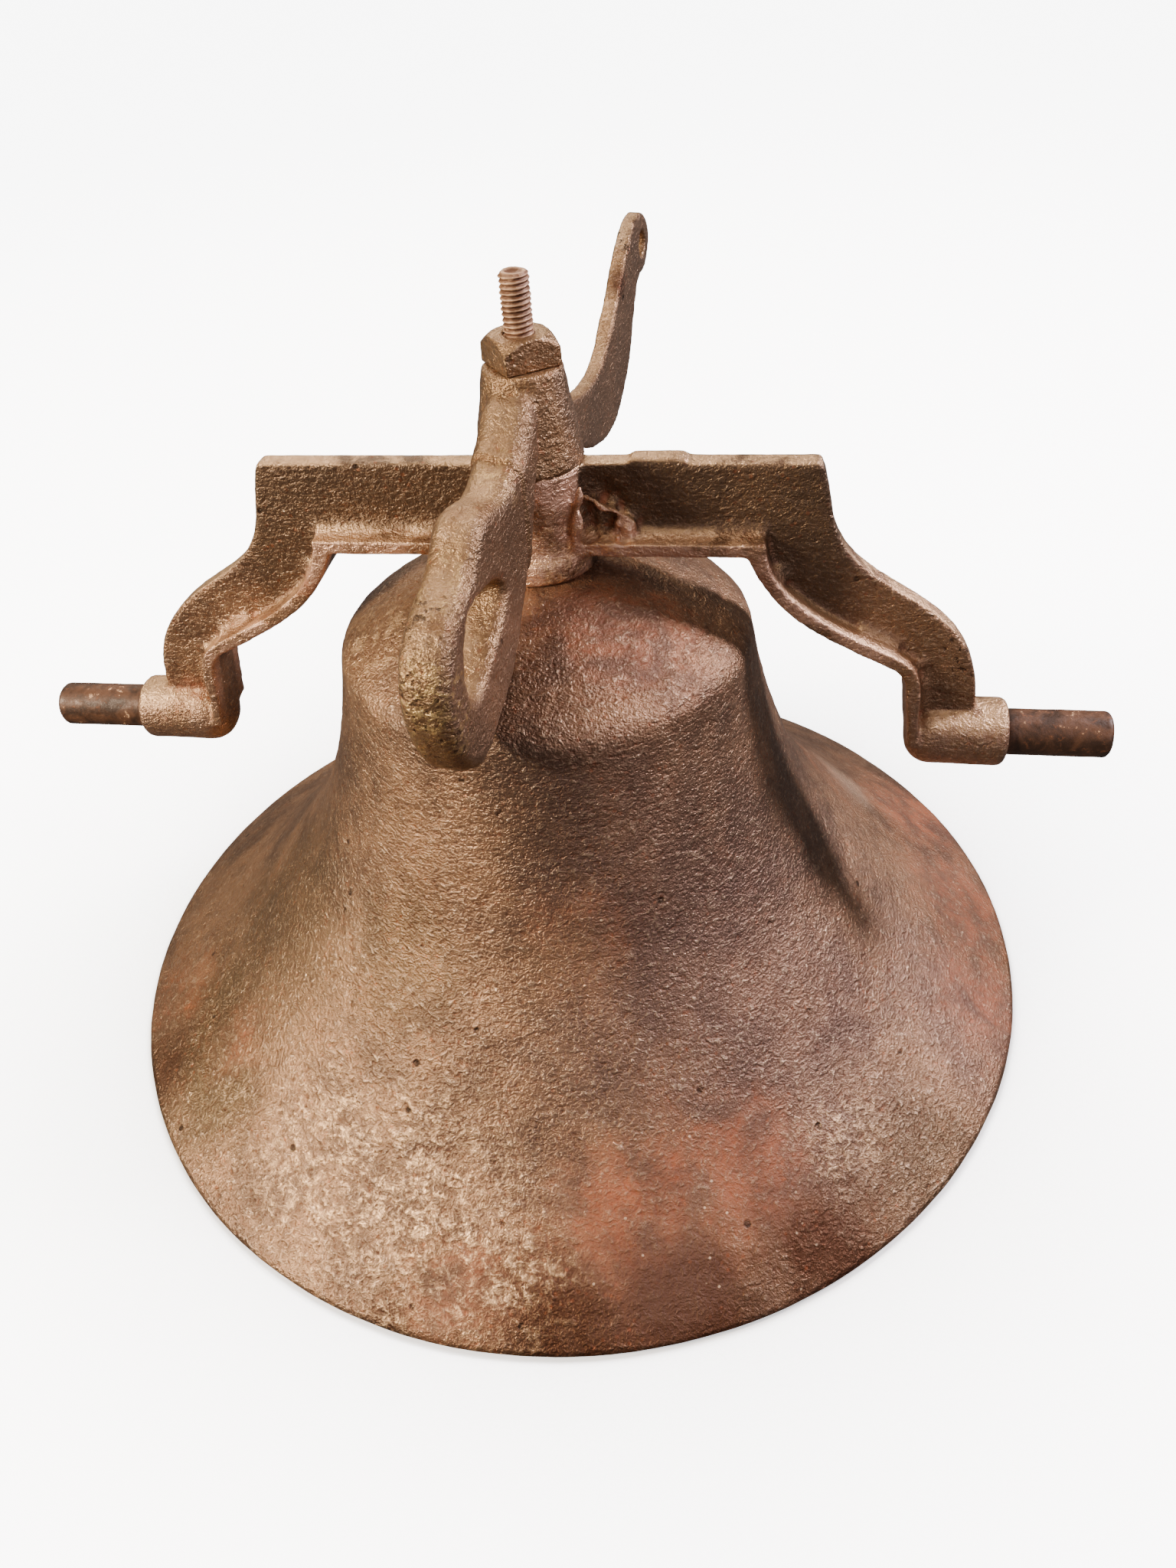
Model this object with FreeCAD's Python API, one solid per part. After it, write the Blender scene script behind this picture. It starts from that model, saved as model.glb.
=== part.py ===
import FreeCAD, Part
import math
import os

# Yard dinner bell, in millimetres. The bell stands on its lip: +Z is up, the origin is the centre
# of the lip's mouth, X runs along the yoke and -Y is the side of the lever's loop.

Vector = FreeCAD.Vector
X_AXIS = Vector(1, 0, 0)
Y_AXIS = Vector(0, 1, 0)
Z_AXIS = Vector(0, 0, 1)
RUNNING_GAP = 0.07            # radial play of the clapper on its pin
SEATED_GAP = 0.03             # radial play of pieces that sit still in a hole
OVERSHOOT = 5.0               # how far a cut runs past the faces that it opens
TINY = 0.01                   # lengths closer than this are the same

# Bell casting
LIP_RADIUS = 190.5            # 15 inch mouth
LIP_EDGE = 2.0                # height of the blunt outer edge of the lip
LIP_CHAMFER = 1.2
BELL_OUTSIDE = [(190.5, 2.0), (177.2, 11.4), (152.6, 28.6), (120.0, 61.0),
                (100.0, 87.6), (88.0, 114.3), (79.7, 141.0), (74.6, 167.3)]   # radius, height
WALL_THICKNESS = [5.0, 8.0, 10.0, 8.0, 7.0, 6.5, 6.5, 6.5]                    # at the same points
RIM_INSET = 2.0               # the rim's flat face starts this far inside the inner wall's foot
DOME_RADIUS = 115.6           # the crown is a shallow spherical cap
DOME_CENTRE_Z = 78.9
SHOULDER_RADIUS = 10.5
CROWN_SEAT_Z = 192.7          # flat seat under the yoke's foot
CROWN_THICKNESS = 9.0
CROWN_HOLE_RADIUS = 5.6
CEILING = [(70.4, 156.0), (62.0, 168.5), (42.0, 179.0)]   # underside of the crown: radius, height
CEILING_FLAT_RADIUS = 19.0    # flat ring that the washer bears on

# Yoke casting
BEAM_TOP_Z = 230.0
BEAM_BOTTOM_Z = 200.4
BEAM_HALF_LENGTH = 94.2
WEB_HALF = 4.2                # half thickness of the web
FLANGE_HALF = 12.6            # half depth of the lower flange
FLANGE_THICKNESS = 5.0
FLANGE_CORNER_SHIFT = 6.0     # the flange's upper face turns down this far beyond its lower face
ARM_OUTSIDE = [(94.2, 230.0), (97.4, 220.0), (100.4, 207.2), (107.5, 195.8), (124.2, 183.5),
               (141.2, 170.8), (150.6, 157.7), (154.6, 144.0), (155.4, 130.0)]
ARM_INSIDE = [(71.9, 200.4), (76.6, 190.9), (87.2, 178.6), (106.6, 165.9), (122.0, 157.9)]
ARM_KNEE = [(122.0, 157.9), (127.0, 154.0), (129.0, 148.0)]
BOSS_INNER_X = 132.4
BOSS_OUTER_X = 168.0
BOSS_RADIUS = 12.7
BOSS_ROUND = 9.0
BOSS_CHAMFER = 1.5
CENTRE_BOSS_RADIUS = 17.4
FOOT_RADIUS = 20.2
FOOT_TOP_Z = 201.5
FOOT_ROUND = 3.0
GATE_SCAR_X = (33.0, 51.0)    # stub left where the casting gate was broken off
GATE_SCAR_HEIGHT = 1.6
GATE_SCAR_HALF = 3.6
GATE_SCAR_ROUND = 1.2

# Trunnion pins
PIN_RADIUS = 8.6              # turns in the stand's bearings
PIN_ROOT_RADIUS = 8.0         # reduced end that is seated in the boss
PIN_TIP_X = 205.0
PIN_ROOT_X = 141.0
PIN_CHAMFER = 1.3
TRUNNION_Z = 123.3

# Lever casting, drawn in its own plane: distance from the bolt's axis (front is negative), height
LEVER_TURN = -7.0             # degrees that the lever stands off square to the yoke
HUB_BASE_RADIUS = 18.1
HUB_TOP_RADIUS = 12.9
HUB_TOP_Z = 261.3
LEVER_HOLE_RADIUS = 5.2
FRONT_ARM_HALF = 8.0
FRONT_ARM_SHIFT = -0.6        # sideways, off the bolt's axis
FRONT_ARM_ROUND = 5.2
FRONT_ARM = [(-6.0, 259.0), (-14.0, 256.5), (-26.0, 247.0), (-37.0, 242.0), (-47.0, 239.8),
             (-58.0, 242.2), (-67.5, 241.8), (-78.0, 234.0), (-91.0, 229.0), (-101.5, 224.0),
             (-108.5, 214.5), (-109.8, 202.0), (-106.0, 188.0), (-99.0, 177.3), (-89.5, 172.2),
             (-78.0, 173.9), (-66.0, 178.0), (-56.0, 182.4), (-46.0, 190.5), (-35.5, 201.0),
             (-26.0, 216.5), (-19.2, 230.2), (-6.0, 240.0)]
LOOP_HOLE = [(-93.3, 207.0), (-91.5, 216.0), (-85.0, 222.3), (-74.0, 222.3), (-62.0, 219.5),
             (-56.0, 213.5), (-62.0, 206.5), (-74.0, 201.0), (-85.0, 196.5), (-91.5, 199.0)]
LOOP_HOLE_ROUND = 3.2
REAR_ARM_HALF = 3.2
REAR_ARM_ROUND = 1.2
REAR_ARM = [(6.0, 254.0), (14.0, 250.0), (36.0, 236.0), (60.0, 229.3), (84.0, 229.3),
            (106.0, 239.0), (124.0, 251.0), (143.0, 262.5), (160.0, 265.5), (171.0, 260.0),
            (173.5, 250.5), (167.0, 243.0), (154.0, 241.0), (143.0, 230.0), (131.0, 213.0),
            (116.0, 203.0), (97.0, 199.0), (74.0, 202.0), (50.0, 212.0), (30.0, 224.0),
            (14.0, 232.0), (6.0, 235.0)]
EYE_CENTRE = (161.0, 253.0)
EYE_HOLE_RADIUS = 5.0

# Bolt, nut and washer
BOLT_RADIUS = 4.7625          # 3/8 inch
BOLT_TOP_Z = 288.7
BOLT_CHAMFER = 0.9
NUT_ACROSS_FLATS = 19.05      # twice the bolt's diameter
NUT_HEIGHT = 9.5
NUT_CROWN_RADIUS = 9.3        # where the top chamfer starts
NUT_CHAMFER_SLOPE = 0.85      # rise over run
NUT_TURN = 35.0
WASHER_RADIUS = 15.0
WASHER_THICKNESS = 3.0
COLLAR_RADIUS = 11.0
COLLAR_THICKNESS = 4.0
FORK_GAP_HALF = 4.5
FORK_HALF = 9.5
FORK_DEPTH_HALF = 8.0
FORK_BOTTOM_Z = 150.0
FORK_EAR_ROUND = 7.5
FORK_HEADROOM = 2.0           # between the clapper's eye and the fork's root

# Clapper
PIVOT_Z = 158.0
PIVOT_RADIUS = 3.1
PIVOT_HEAD_RADIUS = 5.2
PIVOT_HEAD_THICKNESS = 2.6
PIVOT_HEAD_ROUND = 1.0
PIVOT_END_X = 15.5
COTTER_X = 12.6
COTTER_WIRE_RADIUS = 0.8
COTTER_EYE_RADIUS = 1.9
COTTER_STEM_END = 0.6         # below the pivot pin
COTTER_LEG_LENGTH = 4.8
COTTER_LEG_RADIUS = 0.56
COTTER_LEG_SPREAD = 0.45      # sideways run over drop
EYE_RADIUS = 8.0
EYE_HALF = 4.2
EYE_ROUND = 1.0
ROD_INTO_EYE = 1.0            # how far the rod runs into the eye
ROD_TOP_RADIUS = 4.2
ROD_BOTTOM_RADIUS = 5.5
BALL_Z = 28.0
BALL_RADIUS = 20.0


def smooth(points, closed=False):
    """One smooth curve through the points."""
    curve = Part.BSplineCurve()
    curve.interpolate(Points=[Vector(*p) for p in points], PeriodicFlag=closed)
    return curve.toShape()


def line(a, b):
    return Part.makeLine(Vector(*a), Vector(*b))


def at_xz(points):
    """Turns (distance, height) pairs into points in the XZ plane."""
    return [(x, 0.0, z) for x, z in points]


def at_yz(points):
    return [(0.0, y, z) for y, z in points]


def bar(radius, start, end, axis=Z_AXIS, y=0.0, z=0.0):
    """Round bar along X or Z between two stations on its axis."""
    base = Vector(start, y, z) if axis == X_AXIS else Vector(0, y, start)
    return Part.makeCylinder(radius, end - start, base, axis)


def slab(edges, direction, half):
    """Flat plate: a closed outline thickened by half on both sides of its plane."""
    face = Part.Face(Part.Wire(Part.__sortEdges__(edges)))
    face.translate(direction * -half)
    return face.extrude(direction * (2 * half))


def mirrored(shape):
    return shape.mirror(Vector(0, 0, 0), X_AXIS)


def inside_points():
    """The bell's inside wall: the outside points moved in by the wall's thickness there."""
    points = []
    last = len(BELL_OUTSIDE) - 1
    for i, (radius, height) in enumerate(BELL_OUTSIDE):
        before = BELL_OUTSIDE[max(i - 1, 0)]
        after = BELL_OUTSIDE[min(i + 1, last)]
        run = after[0] - before[0]
        rise = after[1] - before[1]
        length = math.hypot(run, rise)
        thickness = WALL_THICKNESS[i]
        points.append((radius - thickness * rise / length, height + thickness * run / length))
    return points


def bell_casting():
    seat_radius = math.sqrt(DOME_RADIUS ** 2 - (CROWN_SEAT_Z - DOME_CENTRE_Z) ** 2)
    wall_top = BELL_OUTSIDE[-1]
    dome_middle_radius = (seat_radius + wall_top[0]) / 2
    dome_middle_z = DOME_CENTRE_Z + math.sqrt(DOME_RADIUS ** 2 - dome_middle_radius ** 2)
    dome = Part.Arc(Vector(wall_top[0], 0, wall_top[1]),
                    Vector(dome_middle_radius, 0, dome_middle_z),
                    Vector(seat_radius, 0, CROWN_SEAT_Z)).toShape()
    wall = inside_points()
    rim_radius = wall[0][0] - RIM_INSET
    inner = [(rim_radius, 0.0)] + wall[1:-1]
    ceiling_z = CROWN_SEAT_Z - CROWN_THICKNESS
    ceiling = [inner[-1]] + CEILING + [(CEILING_FLAT_RADIUS, ceiling_z)]
    edges = [
        line((rim_radius, 0, 0), (LIP_RADIUS - LIP_CHAMFER, 0, 0)),
        line((LIP_RADIUS - LIP_CHAMFER, 0, 0), (LIP_RADIUS, 0, LIP_EDGE)),
        smooth(at_xz(BELL_OUTSIDE)),
        dome,
        line((seat_radius, 0, CROWN_SEAT_Z), (0, 0, CROWN_SEAT_Z)),
        line((0, 0, CROWN_SEAT_Z), (0, 0, ceiling_z)),
        line((0, 0, ceiling_z), (CEILING_FLAT_RADIUS, 0, ceiling_z)),
        smooth(at_xz(ceiling)),
        smooth(at_xz(inner)),
    ]
    section = Part.Face(Part.Wire(Part.__sortEdges__(edges)))
    bell = section.revolve(Vector(0, 0, 0), Z_AXIS, 360)
    shoulder = [e for e in bell.Edges
                if abs(e.BoundBox.ZMin - wall_top[1]) < TINY and abs(e.BoundBox.ZMax - wall_top[1]) < TINY]
    bell = bell.makeFillet(SHOULDER_RADIUS, shoulder)
    return bell.cut(bar(CROWN_HOLE_RADIUS, ceiling_z - OVERSHOOT, CROWN_SEAT_Z + OVERSHOOT))


def arm_inside_offset():
    """The line where the flange's upper face meets the web, a flange thickness off the inside."""
    points = ARM_INSIDE + ARM_KNEE[1:] + [(BOSS_INNER_X, TRUNNION_Z)]
    moved = [(ARM_INSIDE[0][0] + FLANGE_CORNER_SHIFT, BEAM_BOTTOM_Z + FLANGE_THICKNESS)]
    for i in range(1, len(points) - 1):
        run = points[i + 1][0] - points[i - 1][0]
        rise = points[i + 1][1] - points[i - 1][1]
        length = math.hypot(run, rise)
        moved.append((points[i][0] - FLANGE_THICKNESS * rise / length,
                      points[i][1] + FLANGE_THICKNESS * run / length))
    moved.append((BOSS_INNER_X + FLANGE_THICKNESS, TRUNNION_Z))
    return moved


def yoke_half():
    """Right half of the T-section beam and its S arm, down to the trunnion's axis."""
    foot = (ARM_OUTSIDE[-1][0], 0, TRUNNION_Z)
    outline = [
        line((0, 0, BEAM_TOP_Z), (BEAM_HALF_LENGTH, 0, BEAM_TOP_Z)),
        smooth(at_xz(ARM_OUTSIDE)),
        line((ARM_OUTSIDE[-1][0], 0, ARM_OUTSIDE[-1][1]), foot),
        line(foot, (BOSS_INNER_X, 0, TRUNNION_Z)),
        line((BOSS_INNER_X, 0, TRUNNION_Z), at_xz(ARM_KNEE)[-1]),
        smooth(at_xz(ARM_KNEE)),
        smooth(at_xz(ARM_INSIDE)),
        line(at_xz(ARM_INSIDE)[0], (0, 0, BEAM_BOTTOM_Z)),
        line((0, 0, BEAM_BOTTOM_Z), (0, 0, BEAM_TOP_Z)),
    ]
    body = slab(outline, Y_AXIS, FLANGE_HALF)
    flange_top = arm_inside_offset()
    far_x = PIN_TIP_X
    far_z = BEAM_TOP_Z + FLANGE_HALF
    pocket = [
        line((-OVERSHOOT, 0, BEAM_BOTTOM_Z + FLANGE_THICKNESS), at_xz(flange_top)[0]),
        smooth(at_xz(flange_top)),
        line(at_xz(flange_top)[-1], (far_x, 0, TRUNNION_Z)),
        line((far_x, 0, TRUNNION_Z), (far_x, 0, far_z)),
        line((far_x, 0, far_z), (-OVERSHOOT, 0, far_z)),
        line((-OVERSHOOT, 0, far_z), (-OVERSHOOT, 0, BEAM_BOTTOM_Z + FLANGE_THICKNESS)),
    ]
    for side in (-1, 1):
        hollow = slab(pocket, Y_AXIS, FLANGE_HALF)
        hollow.translate(Y_AXIS * (side * (WEB_HALF + FLANGE_HALF)))
        body = body.cut(hollow)
    return body


def trunnion_boss():
    boss = bar(BOSS_RADIUS, BOSS_INNER_X, BOSS_OUTER_X, X_AXIS, z=TRUNNION_Z)
    inner = [e for e in boss.Edges if abs(e.BoundBox.XMax - BOSS_INNER_X) < TINY]
    boss = boss.makeFillet(BOSS_ROUND, inner)
    outer = [e for e in boss.Edges if abs(e.BoundBox.XMin - BOSS_OUTER_X) < TINY]
    return boss.makeChamfer(BOSS_CHAMFER, outer)


def yoke_casting():
    half = yoke_half().fuse(trunnion_boss())
    half = half.cut(bar(PIN_ROOT_RADIUS + SEATED_GAP, PIN_ROOT_X, PIN_TIP_X, X_AXIS, z=TRUNNION_Z))
    column = bar(CENTRE_BOSS_RADIUS, FOOT_TOP_Z, BEAM_TOP_Z)
    foot = bar(FOOT_RADIUS, CROWN_SEAT_Z, FOOT_TOP_Z)
    foot = foot.makeFillet(FOOT_ROUND, [e for e in foot.Edges if e.BoundBox.ZMin > FOOT_TOP_Z - TINY])
    scar = Part.makeBox(GATE_SCAR_X[1] - GATE_SCAR_X[0], 2 * GATE_SCAR_HALF, GATE_SCAR_HEIGHT + OVERSHOOT,
                        Vector(GATE_SCAR_X[0], -GATE_SCAR_HALF, BEAM_TOP_Z - OVERSHOOT))
    scar = scar.makeFillet(GATE_SCAR_ROUND, [e for e in scar.Edges if e.BoundBox.ZMin > BEAM_TOP_Z])
    yoke = half.fuse([mirrored(half), column, foot, scar]).removeSplitter()
    return yoke.cut(bar(CROWN_HOLE_RADIUS, CROWN_SEAT_Z - OVERSHOOT, BEAM_TOP_Z + OVERSHOOT))


def trunnion_pin():
    """Steel pin whose shoulder stands on the boss's end face."""
    pin = bar(PIN_RADIUS, BOSS_OUTER_X, PIN_TIP_X, X_AXIS, z=TRUNNION_Z)
    tip = [e for e in pin.Edges if abs(e.BoundBox.XMin - PIN_TIP_X) < TINY]
    root = bar(PIN_ROOT_RADIUS, PIN_ROOT_X, BOSS_OUTER_X, X_AXIS, z=TRUNNION_Z)
    return pin.makeChamfer(PIN_CHAMFER, tip).fuse(root)


def rounded_plate(points, half, radius):
    """Plate in the lever's plane with its long edges rounded."""
    outline = [smooth(at_yz(points)), line(at_yz(points)[-1], at_yz(points)[0])]
    plate = slab(outline, X_AXIS, half)
    reach = abs(points[0][0] - max(points, key=lambda p: abs(p[0]))[0])
    rims = [e for e in plate.Edges if e.BoundBox.XLength < TINY and e.BoundBox.YLength > 0.9 * reach]
    return plate.makeFillet(radius, rims)


def loop_hole():
    """Pear-shaped hole across the loop."""
    return slab([smooth(at_yz(LOOP_HOLE), closed=True)], X_AXIS, 2 * FRONT_ARM_HALF)


def lever_casting():
    hub = Part.makeCone(HUB_BASE_RADIUS, HUB_TOP_RADIUS, HUB_TOP_Z - BEAM_TOP_Z,
                        Vector(0, 0, BEAM_TOP_Z), Z_AXIS)
    front = rounded_plate(FRONT_ARM, FRONT_ARM_HALF, FRONT_ARM_ROUND).cut(loop_hole())
    arm_span = max(y for y, z in FRONT_ARM) - min(y for y, z in FRONT_ARM)
    hole_edges = [e for e in front.Edges
                  if e.BoundBox.XLength < TINY and arm_span / 4 < e.BoundBox.YLength < arm_span / 2]
    front = front.makeFillet(LOOP_HOLE_ROUND, hole_edges)
    front.translate(X_AXIS * FRONT_ARM_SHIFT)
    rear = rounded_plate(REAR_ARM, REAR_ARM_HALF, REAR_ARM_ROUND)
    eye = bar(EYE_HOLE_RADIUS, -2 * REAR_ARM_HALF, 2 * REAR_ARM_HALF, X_AXIS, *EYE_CENTRE)
    lever = hub.fuse([front, rear.cut(eye)])
    lever = lever.cut(bar(LEVER_HOLE_RADIUS, BEAM_TOP_Z - OVERSHOOT, HUB_TOP_Z + OVERSHOOT))
    lever.rotate(Vector(0, 0, 0), Z_AXIS, LEVER_TURN)
    return lever.removeSplitter()


def square_nut():
    side = NUT_ACROSS_FLATS
    nut = Part.makeBox(side, side, NUT_HEIGHT, Vector(-side / 2, -side / 2, HUB_TOP_Z))
    drop = (side - NUT_CROWN_RADIUS) * NUT_CHAMFER_SLOPE
    top_z = HUB_TOP_Z + NUT_HEIGHT
    chamfer = Part.makeCone(side, NUT_CROWN_RADIUS, drop, Vector(0, 0, top_z - drop), Z_AXIS)
    nut = nut.common(chamfer.fuse(bar(side, HUB_TOP_Z, top_z - drop)))
    nut.rotate(Vector(0, 0, 0), Z_AXIS, NUT_TURN)
    return nut.cut(bar(BOLT_RADIUS + SEATED_GAP, HUB_TOP_Z - OVERSHOOT, top_z + OVERSHOOT))


def crown_washer():
    top_z = CROWN_SEAT_Z - CROWN_THICKNESS
    washer = bar(WASHER_RADIUS, top_z - WASHER_THICKNESS, top_z)
    return washer.cut(bar(CROWN_HOLE_RADIUS, top_z - WASHER_THICKNESS - OVERSHOOT, top_z + OVERSHOOT))


def clapper_bolt():
    """Bolt with a collar under the crown and a fork that holds the clapper's pivot."""
    collar_top = CROWN_SEAT_Z - CROWN_THICKNESS - WASHER_THICKNESS
    collar_bottom = collar_top - COLLAR_THICKNESS
    shank = bar(BOLT_RADIUS, collar_bottom, BOLT_TOP_Z)
    tip = [e for e in shank.Edges if e.BoundBox.ZMin > BOLT_TOP_Z - TINY]
    shank = shank.makeChamfer(BOLT_CHAMFER, tip)
    collar = bar(COLLAR_RADIUS, collar_bottom, collar_top)
    fork = Part.makeBox(2 * FORK_HALF, 2 * FORK_DEPTH_HALF, collar_bottom - FORK_BOTTOM_Z,
                        Vector(-FORK_HALF, -FORK_DEPTH_HALF, FORK_BOTTOM_Z))
    ears = [e for e in fork.Edges if e.BoundBox.ZMax < FORK_BOTTOM_Z + TINY and e.BoundBox.XLength > 1]
    fork = fork.makeFillet(FORK_EAR_ROUND, ears)
    gap_top = PIVOT_Z + EYE_RADIUS + FORK_HEADROOM
    gap = Part.makeBox(2 * FORK_GAP_HALF, 4 * FORK_DEPTH_HALF, gap_top - FORK_BOTTOM_Z + OVERSHOOT,
                       Vector(-FORK_GAP_HALF, -2 * FORK_DEPTH_HALF, FORK_BOTTOM_Z - OVERSHOOT))
    hole = bar(PIVOT_RADIUS + SEATED_GAP, -2 * FORK_HALF, 2 * FORK_HALF, X_AXIS, z=PIVOT_Z)
    return shank.fuse([collar, fork.cut(gap).cut(hole)]).removeSplitter()


def clapper_pin():
    shaft = bar(PIVOT_RADIUS, -FORK_HALF, PIVOT_END_X, X_AXIS, z=PIVOT_Z)
    head = bar(PIVOT_HEAD_RADIUS, -FORK_HALF - PIVOT_HEAD_THICKNESS, -FORK_HALF, X_AXIS, z=PIVOT_Z)
    rim = [e for e in head.Edges if abs(e.BoundBox.XMax + FORK_HALF + PIVOT_HEAD_THICKNESS) < TINY]
    head = head.makeFillet(PIVOT_HEAD_ROUND, rim)
    hole = Part.makeCylinder(COTTER_WIRE_RADIUS + SEATED_GAP, 4 * PIVOT_RADIUS,
                             Vector(COTTER_X, 0, PIVOT_Z - 2 * PIVOT_RADIUS), Z_AXIS)
    return head.fuse(shaft).removeSplitter().cut(hole)


def clapper_cotter():
    """Split pin: a round eye above the pivot pin and two spread legs below it."""
    eye_z = PIVOT_Z + PIVOT_RADIUS + COTTER_EYE_RADIUS + COTTER_WIRE_RADIUS
    eye = Part.makeTorus(COTTER_EYE_RADIUS, COTTER_WIRE_RADIUS, Vector(COTTER_X, 0, eye_z), X_AXIS)
    bottom_z = PIVOT_Z - PIVOT_RADIUS - COTTER_STEM_END
    stem = Part.makeCylinder(COTTER_WIRE_RADIUS, eye_z - COTTER_EYE_RADIUS - bottom_z,
                             Vector(COTTER_X, 0, bottom_z), Z_AXIS)
    legs = []
    for side in (-1, 1):
        lean = Vector(0, side * COTTER_LEG_SPREAD, -1)
        legs.append(Part.makeCylinder(COTTER_LEG_RADIUS, COTTER_LEG_LENGTH,
                                      Vector(COTTER_X, 0, bottom_z + COTTER_LEG_RADIUS), lean))
    return stem.fuse([eye] + legs)


def rod_length():
    """From the ball's centre up into the clapper's eye."""
    return PIVOT_Z - EYE_RADIUS + ROD_INTO_EYE - BALL_Z


def clapper_rod():
    eye = bar(EYE_RADIUS, -EYE_HALF, EYE_HALF, X_AXIS, z=PIVOT_Z)
    eye = eye.makeFillet(EYE_ROUND, [e for e in eye.Edges if e.BoundBox.XLength < TINY])
    rod = Part.makeCone(ROD_BOTTOM_RADIUS, ROD_TOP_RADIUS, rod_length(), Vector(0, 0, BALL_Z), Z_AXIS)
    hole = bar(PIVOT_RADIUS + RUNNING_GAP, -2 * EYE_HALF, 2 * EYE_HALF, X_AXIS, z=PIVOT_Z)
    return eye.fuse(rod).removeSplitter().cut(hole)


def clapper_ball():
    """Ball cast on to the end of the rod."""
    ball = Part.makeSphere(BALL_RADIUS, Vector(0, 0, BALL_Z))
    socket = Part.makeCone(ROD_BOTTOM_RADIUS + SEATED_GAP, ROD_TOP_RADIUS + SEATED_GAP, rod_length(),
                           Vector(0, 0, BALL_Z), Z_AXIS)
    return ball.cut(socket)


right_pin = trunnion_pin()
PIECES = {
    "bell_casting": bell_casting(),
    "yoke_casting": yoke_casting(),
    "trunnion_pin_right": right_pin,
    "trunnion_pin_left": mirrored(right_pin),
    "lever_casting": lever_casting(),
    "square_nut": square_nut(),
    "clapper_bolt": clapper_bolt(),
    "crown_washer": crown_washer(),
    "clapper_pin": clapper_pin(),
    "clapper_cotter": clapper_cotter(),
    "clapper_rod": clapper_rod(),
    "clapper_ball": clapper_ball(),
}

os.makedirs("parts", exist_ok=True)
for name, shape in PIECES.items():
    shape.exportStep("parts/" + name + ".step")
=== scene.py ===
import math

import bmesh
import bpy
import numpy as np
from mathutils import Euler, Matrix, Vector, noise


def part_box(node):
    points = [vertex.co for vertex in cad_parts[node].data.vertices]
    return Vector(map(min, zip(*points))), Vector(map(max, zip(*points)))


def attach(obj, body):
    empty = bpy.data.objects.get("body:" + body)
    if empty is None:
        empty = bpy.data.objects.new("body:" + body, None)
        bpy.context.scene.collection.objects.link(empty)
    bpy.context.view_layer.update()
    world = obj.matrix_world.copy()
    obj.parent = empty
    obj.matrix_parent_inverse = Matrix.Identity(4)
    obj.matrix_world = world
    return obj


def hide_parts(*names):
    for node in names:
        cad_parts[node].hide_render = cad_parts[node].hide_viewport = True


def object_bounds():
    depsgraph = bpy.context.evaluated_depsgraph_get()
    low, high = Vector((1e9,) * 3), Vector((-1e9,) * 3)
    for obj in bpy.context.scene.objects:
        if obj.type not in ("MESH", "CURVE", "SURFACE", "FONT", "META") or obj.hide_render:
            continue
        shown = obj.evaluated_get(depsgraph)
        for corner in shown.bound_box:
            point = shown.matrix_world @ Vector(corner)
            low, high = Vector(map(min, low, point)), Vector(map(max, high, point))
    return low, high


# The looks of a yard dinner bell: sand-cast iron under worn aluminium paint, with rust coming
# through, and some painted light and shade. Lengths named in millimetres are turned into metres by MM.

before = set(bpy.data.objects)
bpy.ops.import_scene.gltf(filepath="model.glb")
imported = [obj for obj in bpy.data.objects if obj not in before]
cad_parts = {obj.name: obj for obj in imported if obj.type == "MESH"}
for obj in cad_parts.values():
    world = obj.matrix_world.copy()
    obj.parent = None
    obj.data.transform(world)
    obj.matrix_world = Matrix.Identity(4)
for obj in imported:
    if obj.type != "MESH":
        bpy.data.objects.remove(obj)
cad_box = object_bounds()

MM = 0.001
UP = Vector((0, 0, 1))

THREAD_PITCH = 1.5875 * MM      # 16 threads to the inch
THREAD_DEPTH = 0.6 * MM
BOLT_RADIUS = 4.7625 * MM
THREAD_STEPS = 48               # round one turn
THREAD_ROWS = 10                # up one pitch
THREAD_FOOT = 1.5 * MM          # the thread begins this far up inside the nut
SHANK_END = 1.6 * MM            # and the shank ends this far up
TIP_CHAMFER = 1.1 * MM
TIP_RINGS = [(0.62, 0.0), (0.5, 0.5), (0.3, 0.9), (0.08, 1.0)]   # share of radius, depth in mm

LEVER_TURN = math.radians(7)    # the lever stands this far off square to the yoke
COLLAR_EDGE = -30.3 * MM        # the step across the front arm, along the lever
COLLAR_RISE = 1.2 * MM
COLLAR_ARCH = 2.2 * MM          # how far the step curves forward in the middle

WEB_FACE = 5.2 * MM             # anything of the yoke further forward or back is flange or boss
FLANGE_TOP = 207.0 * MM         # the corner between flange and web lies lower than this
ARM_START = 98.0 * MM           # the beam ends and the arms begin
PIN_BOSS_START = 132.0 * MM     # the bosses that hold the pins lie further out than this
COVE_RADIUS = 5.5 * MM          # hollow curve where the yoke's web meets its flange
COVE_STEPS = 5
COVE_BITE = 0.5 * MM            # how far a cove strip sinks into the iron behind it
SHARP_CORNER = 1.0              # radians; flatter inside corners get no cove
SCAR_PLACE = (25, -9, 214)      # broken skin beside the yoke's centre boss, in mm

BELL_SEGMENTS = 448             # round the bell
OUTSIDE_STEP = 1.9 * MM         # up its outside
INSIDE_STEP = 4.2 * MM          # up its inside
SECTION_TURN = math.radians(1.3)     # the cutting half plane misses the bell's own seam
CORNER_TURN = 24                # degrees; sharper turns of the outline stay corners
CRACK_RADIUS = 63.0 * MM        # ring-shaped casting crack on the crown
CRACK_WIDTH = 0.75 * MM
CRACK_DEPTH = 0.7 * MM

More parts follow.
